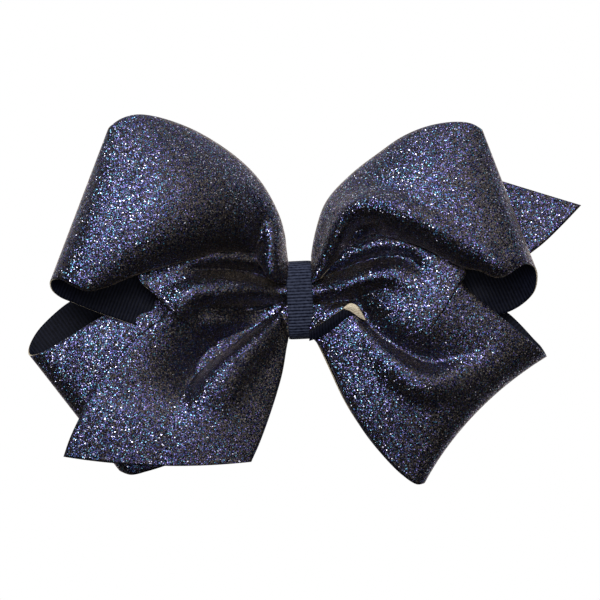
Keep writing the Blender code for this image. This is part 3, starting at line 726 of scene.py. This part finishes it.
def steel_material(name, grain):
    """Nickel-plated steel with a fine drawn grain, given as its scale per metre on X, Y and Z."""
    mat = plain_material(name, (0.62, 0.62, 0.64), 0.25, 1.0)
    n = Nodes(mat)
    place = n.add("TexCoord").outputs["Object"]
    drawn = n.add("TexNoise", {"Vector": n.vector("MULTIPLY", place, grain), "Scale": 1.0, "Detail": 4.0})
    stain = n.add("TexNoise", {"Vector": place, "Scale": 180.0, "Detail": 3.0})
    n.put(n.shader.inputs["Base Color"],
          n.ramp(stain.outputs["Fac"], [(0.3, (0.40, 0.395, 0.39)), (0.6, (0.49, 0.49, 0.50))]))
    gloss = n.add("MapRange", {"Value": drawn.outputs["Fac"], "From Min": 0.3, "From Max": 0.7,
                               "To Min": 0.17, "To Max": 0.42})
    n.put(n.shader.inputs["Roughness"], gloss.outputs["Result"])
    bump = n.add("Bump", {"Height": drawn.outputs["Fac"], "Strength": 0.25, "Distance": 0.00003})
    n.put(n.shader.inputs["Normal"], bump.outputs["Normal"])
    return mat


def glue_material():
    """Set hot glue: milky and a little see-through, with faint clouds and a wavy skin."""
    mat = plain_material("hot_glue_milky", (0.75, 0.73, 0.65), 0.28)
    n = Nodes(mat)
    place = n.add("TexCoord").outputs["Object"]
    cloud = n.add("TexNoise", {"Vector": place, "Scale": 420.0, "Detail": 4.0})
    n.put(n.shader.inputs["Base Color"],
          n.ramp(cloud.outputs["Fac"], [(0.3, (0.55, 0.52, 0.43)), (0.7, (0.84, 0.83, 0.77))]))
    n.shader.inputs["Subsurface Weight"].default_value = 0.35
    n.shader.inputs["Subsurface Scale"].default_value = 0.001
    wave = n.add("TexNoise", {"Vector": place, "Scale": 260.0, "Detail": 2.0})
    bump = n.add("Bump", {"Height": wave.outputs["Fac"], "Strength": 0.5, "Distance": 0.0003})
    n.put(n.shader.inputs["Normal"], bump.outputs["Normal"])
    return mat


def rubber_material():
    """Matt moulded rubber with a fine speckle and a dusty bloom on its high spots."""
    mat = plain_material("grip_rubber_matt", (0.03, 0.03, 0.032), 0.8)
    n = Nodes(mat)
    place = n.add("TexCoord").outputs["Object"]
    speckle = n.add("TexNoise", {"Vector": place, "Scale": 2600.0, "Detail": 3.0})
    bloom = n.add("TexNoise", {"Vector": place, "Scale": 240.0, "Detail": 4.0})
    mixed = n.math("MULTIPLY", speckle.outputs["Fac"], bloom.outputs["Fac"])
    n.put(n.shader.inputs["Base Color"], n.ramp(mixed, [(0.15, (0.016, 0.016, 0.018)),
                                                        (0.4, (0.075, 0.074, 0.072))]))
    bump = n.add("Bump", {"Height": speckle.outputs["Fac"], "Strength": 0.4, "Distance": 0.00005})
    n.put(n.shader.inputs["Normal"], bump.outputs["Normal"])
    return mat


def thread_material():
    """Waxed navy thread: dark plies with paler fibres and a dull wax gloss."""
    mat = plain_material("waxed_thread_fibres", (0.02, 0.02, 0.04), 0.5)
    n = Nodes(mat)
    place = n.add("TexCoord").outputs["Object"]
    fibre = n.add("TexNoise", {"Vector": n.vector("MULTIPLY", place, (900.0, 9000.0, 3000.0)),
                               "Scale": 1.0})
    n.put(n.shader.inputs["Base Color"],
          n.ramp(fibre.outputs["Fac"], [(0.35, (0.006, 0.007, 0.014)), (0.7, (0.05, 0.055, 0.085))]))
    bump = n.add("Bump", {"Height": fibre.outputs["Fac"], "Strength": 0.5, "Distance": 0.00004})
    n.put(n.shader.inputs["Normal"], bump.outputs["Normal"])
    return mat


def build_jaws(steel):
    """The CAD jaws with their sharp edges broken."""
    for node, body in (("clip_upper_jaw", "bow"), ("clip_lower_jaw", "lower_jaw")):
        source = bpy.data.objects[node]
        mesh = source.data.copy()
        mesh.materials.clear()
        mesh.materials.append(steel)
        obj = bpy.data.objects.new(node + "_plated", mesh)
        bpy.context.scene.collection.objects.link(obj)
        obj.matrix_world = source.matrix_world
        edge = obj.modifiers.new("broken_edges", "BEVEL")
        edge.width = 0.12 * MM
        edge.segments = 2
        edge.limit_method = "ANGLE"
        edge.angle_limit = math.radians(35)
        edge.harden_normals = True
        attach(obj, body)
        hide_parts(node)


def build_spring(steel):
    """The coil and its upper leg stay with the bow; the lower leg rides the lower lever."""
    spring = SPRING
    steps = 40
    start, sweep = math.radians(-100), math.radians(360 * spring["turns"] + 200)
    half_span = spring["pitch"] * sweep / (4 * math.pi)
    angle = np.linspace(start, start + sweep, int(steps * sweep / (2 * math.pi)))
    coil = np.stack([PIVOT[0] + spring["radius"] * np.cos(angle),
                     PIVOT[1] + spring["radius"] * np.sin(angle),
                     np.linspace(-half_span, half_span, len(angle))], axis=1)
    leg = resample(np.vstack([(spring["leg_x"], -3.5, -half_span), coil[0]]), 24)
    upper = tube_mesh("clip_spring_coil", np.vstack([leg[:-1], coil]), spring["wire"], steel)
    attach(upper, "bow")
    bend = catmull_rom([coil[-1], (-15.5, PIVOT[1] + 1.0, half_span), (-17.5, -0.75, half_span),
                        (spring["leg_x"], 0.25, half_span)])[0]
    lower = tube_mesh("clip_spring_leg", bend, spring["wire"], steel)
    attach(lower, "lower_jaw")
    for piece in (upper, lower):
        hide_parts("clip_spring")


def build_thread(material):
    """Three turns of two-ply thread round the gathers."""
    w = THREAD
    angle = np.linspace(0, 2 * math.pi * w["turns"], 1600)
    y, z = superellipse(angle, w["half_depth"], w["half_height"], 3)
    x = np.linspace(-w["span"] / 2, w["span"] / 2, len(angle))
    path = resample(np.stack([x, w["middle_y"] + y, z], axis=1), 1500)
    length = np.linalg.norm(np.diff(path, axis=0), axis=1).sum()
    tangent = np.gradient(path, axis=0)
    tangent /= np.linalg.norm(tangent, axis=1)[:, None]
    side = np.array([1.0, 0.0, 0.0]) - tangent * tangent[:, :1]
    side /= np.linalg.norm(side, axis=1)[:, None]
    out = np.cross(tangent, side)
    turn = np.linspace(0, 2 * math.pi * length / w["twist"], len(path))
    for ply in (0, 1):
        phase = (turn + ply * math.pi)[:, None]
        strand = path + 0.16 * (np.cos(phase) * side + np.sin(phase) * out)
        piece = tube_mesh(f"gathering_thread_ply_{ply + 1}", strand, 0.17, material, 8)
        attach(piece, "bow")
        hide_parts("gathering_thread")


def build_clip_cover(material):
    """Grosgrain glued over the upper jaw, its ribs across the clip and its ends pressed down."""
    c = COVER
    rows = int((c["end"] - c["start"]) / RIB_PITCH * 10)
    x = np.linspace(c["start"], c["end"], rows)
    ribs = 0.08 * np.abs(np.sin(np.pi * (x - c["start"]) / RIB_PITCH)) ** 0.7
    from_end = np.minimum(x - c["start"], c["end"] - x)
    pressed = 0.2 * np.exp(-(from_end / 0.8) ** 2)
    across = np.linspace(-c["half_width"], c["half_width"], 17)
    curl = 0.12 * (np.abs(across) / c["half_width"]) ** 6
    grid = np.zeros((rows, len(across), 3))
    grid[:, :, 0] = x[:, None]
    grid[:, :, 1] = c["y"] - 0.02 - (ribs - pressed)[:, None] + curl[None, :]
    grid[:, :, 2] = across[None, :]
    obj = layer_of("clip_cover_ribbon", grid, False, 1, 0.34, [material])
    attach(obj, "bow")
    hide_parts("clip_lining")


def build_grip_pad(material):
    """The moulded pad in the upper jaw: cross ridges on its face, rounded at its border."""
    w = PAD
    rows, cols = 360, 41
    x = np.linspace(w["start"], w["end"], rows)
    z = np.linspace(-w["half_width"], w["half_width"], cols)
    margin = np.minimum.outer(np.minimum(x - w["start"], w["end"] - x), w["half_width"] - np.abs(z))
    inside = np.clip(margin / 0.5, 0, 1)
    pitch = (w["end"] - w["start"]) / w["ridges"]
    ridge = (0.5 + 0.5 * np.cos(2 * math.pi * (x - w["start"]) / pitch - math.pi))[:, None] ** 0.6
    depth = w["back"] - w["front"]
    height = depth * (0.45 + 0.5 * ridge * inside) * np.sqrt(np.clip(inside, 0.02, 1))
    top = np.stack(np.broadcast_arrays(x[:, None], w["front"] + height, z[None, :]), axis=-1)
    bottom = top.copy()
    bottom[:, :, 1] = w["front"]
    verts = np.concatenate([top.reshape(-1, 3), bottom.reshape(-1, 3)])
    count = rows * cols
    faces = []
    for i in range(rows - 1):
        for k in range(cols - 1):
            a, b, c, d = i * cols + k, i * cols + k + 1, (i + 1) * cols + k + 1, (i + 1) * cols + k
            faces += [(a, b, c, d), (d + count, c + count, b + count, a + count)]
    border = [k for k in range(cols)] + [i * cols + cols - 1 for i in range(1, rows)]
    border += [(rows - 1) * cols + k for k in range(cols - 2, -1, -1)]
    border += [i * cols for i in range(rows - 2, 0, -1)]
    for a, b in zip(border, border[1:] + border[:1]):
        faces.append((b, a, a + count, b + count))
    mesh = bpy.data.meshes.new("grip_pad_ridged")
    mesh.from_pydata((verts * MM).tolist(), [], faces)
    mesh.materials.append(material)
    mesh.shade_smooth()
    mesh.set_sharp_from_angle(angle=math.radians(50))
    obj = bpy.data.objects.new("grip_pad_ridged", mesh)
    bpy.context.scene.collection.objects.link(obj)
    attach(obj, "bow")
    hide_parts("grip_pad")


def build_glue(material):
    """Pressed blobs of hot glue, lumpy at their edges and flat where they meet ribbon and clip."""
    blobs = {
        "glue_dot_left": ((-3.2, -6.6, 0.0), (1.5, 0.8, 3.0), 0.3),
        "glue_dot_right": ((3.2, -6.6, 0.0), (1.5, 0.8, 3.0), 1.9),
        "wrap_seam_glue": ((0.0, -2.35, 0.0), (3.0, 0.15, 2.2), 3.1),
    }
    for name, (centre, half, seed) in blobs.items():
        bm = bmesh.new()
        bmesh.ops.create_icosphere(bm, subdivisions=5, radius=1.0)
        for vert in bm.verts:
            x, y, z = vert.co
            around = math.atan2(z, x)
            lump = 1 - 0.07 * (1 + math.sin(3 * around + seed) * math.cos(2 * around - 2 * seed))
            flat = math.copysign(abs(y) ** 0.45, y)
            vert.co = ((centre[0] + half[0] * lump * math.copysign(abs(x) ** 0.8, x)) * MM,
                       (centre[1] + half[1] * flat * (1 - 0.06 * abs(math.sin(5 * x + seed)))) * MM,
                       (centre[2] + half[2] * lump * math.copysign(abs(z) ** 0.8, z)) * MM)
        mesh = bpy.data.meshes.new(name + "_blob")
        bm.to_mesh(mesh)
        bm.free()
        mesh.materials.append(material)
        mesh.shade_smooth()
        obj = bpy.data.objects.new(name + "_blob", mesh)
        bpy.context.scene.collection.objects.link(obj)
        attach(obj, "bow")
        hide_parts(name)


def finish_pin():
    """The hinge pin keeps its CAD shape and gets turning marks round it."""
    pin = bpy.data.objects["clip_pin"]
    turned = steel_material("pin_steel_turned", (300.0, 300.0, 9000.0))
    for slot in pin.material_slots:
        slot.material = turned


# ------------------------------------------------------------------ main
add_camera()
add_world()
add_stage()
add_area_light("high_softbox", (-0.10, -1.05, 0.50), (0, 0, 0), (0.60, 0.50), 12.5)
add_area_light("front_softbox", (0.05, -1.25, -0.05), (0, 0, 0), (0.85, 0.70), 5.5)
bpy.context.scene.view_settings.view_transform = "Standard"

glitter = glitter_material()
backing = backing_material()
# The lining is the same navy grosgrain as the wrap, painted several times darker: painted shade for the shaded
# insides of the loops. The tab strip and the clip cover share it.
lining = grosgrain_material("grosgrain_lining_painted_shade", (0.0008, 0.001, 0.003),
                            (0.006, 0.007, 0.015), gloss=0.06)
wrap_ribs = grosgrain_material("wrap_grosgrain_ribs", (0.001, 0.0015, 0.006), (0.044, 0.052, 0.086),
                               sheen=0.0, gloss=0.03)
build_ribbons(glitter, backing, lining)
build_wrap(wrap_ribs)
build_jaws(steel_material("clip_steel_brushed", (250.0, 6000.0, 6000.0)))
build_spring(steel_material("spring_steel_drawn", (2500.0, 5000.0, 2500.0)))
finish_pin()
build_thread(thread_material())
build_clip_cover(lining)
build_grip_pad(rubber_material())
build_glue(glue_material())

bpy.context.view_layer.update()
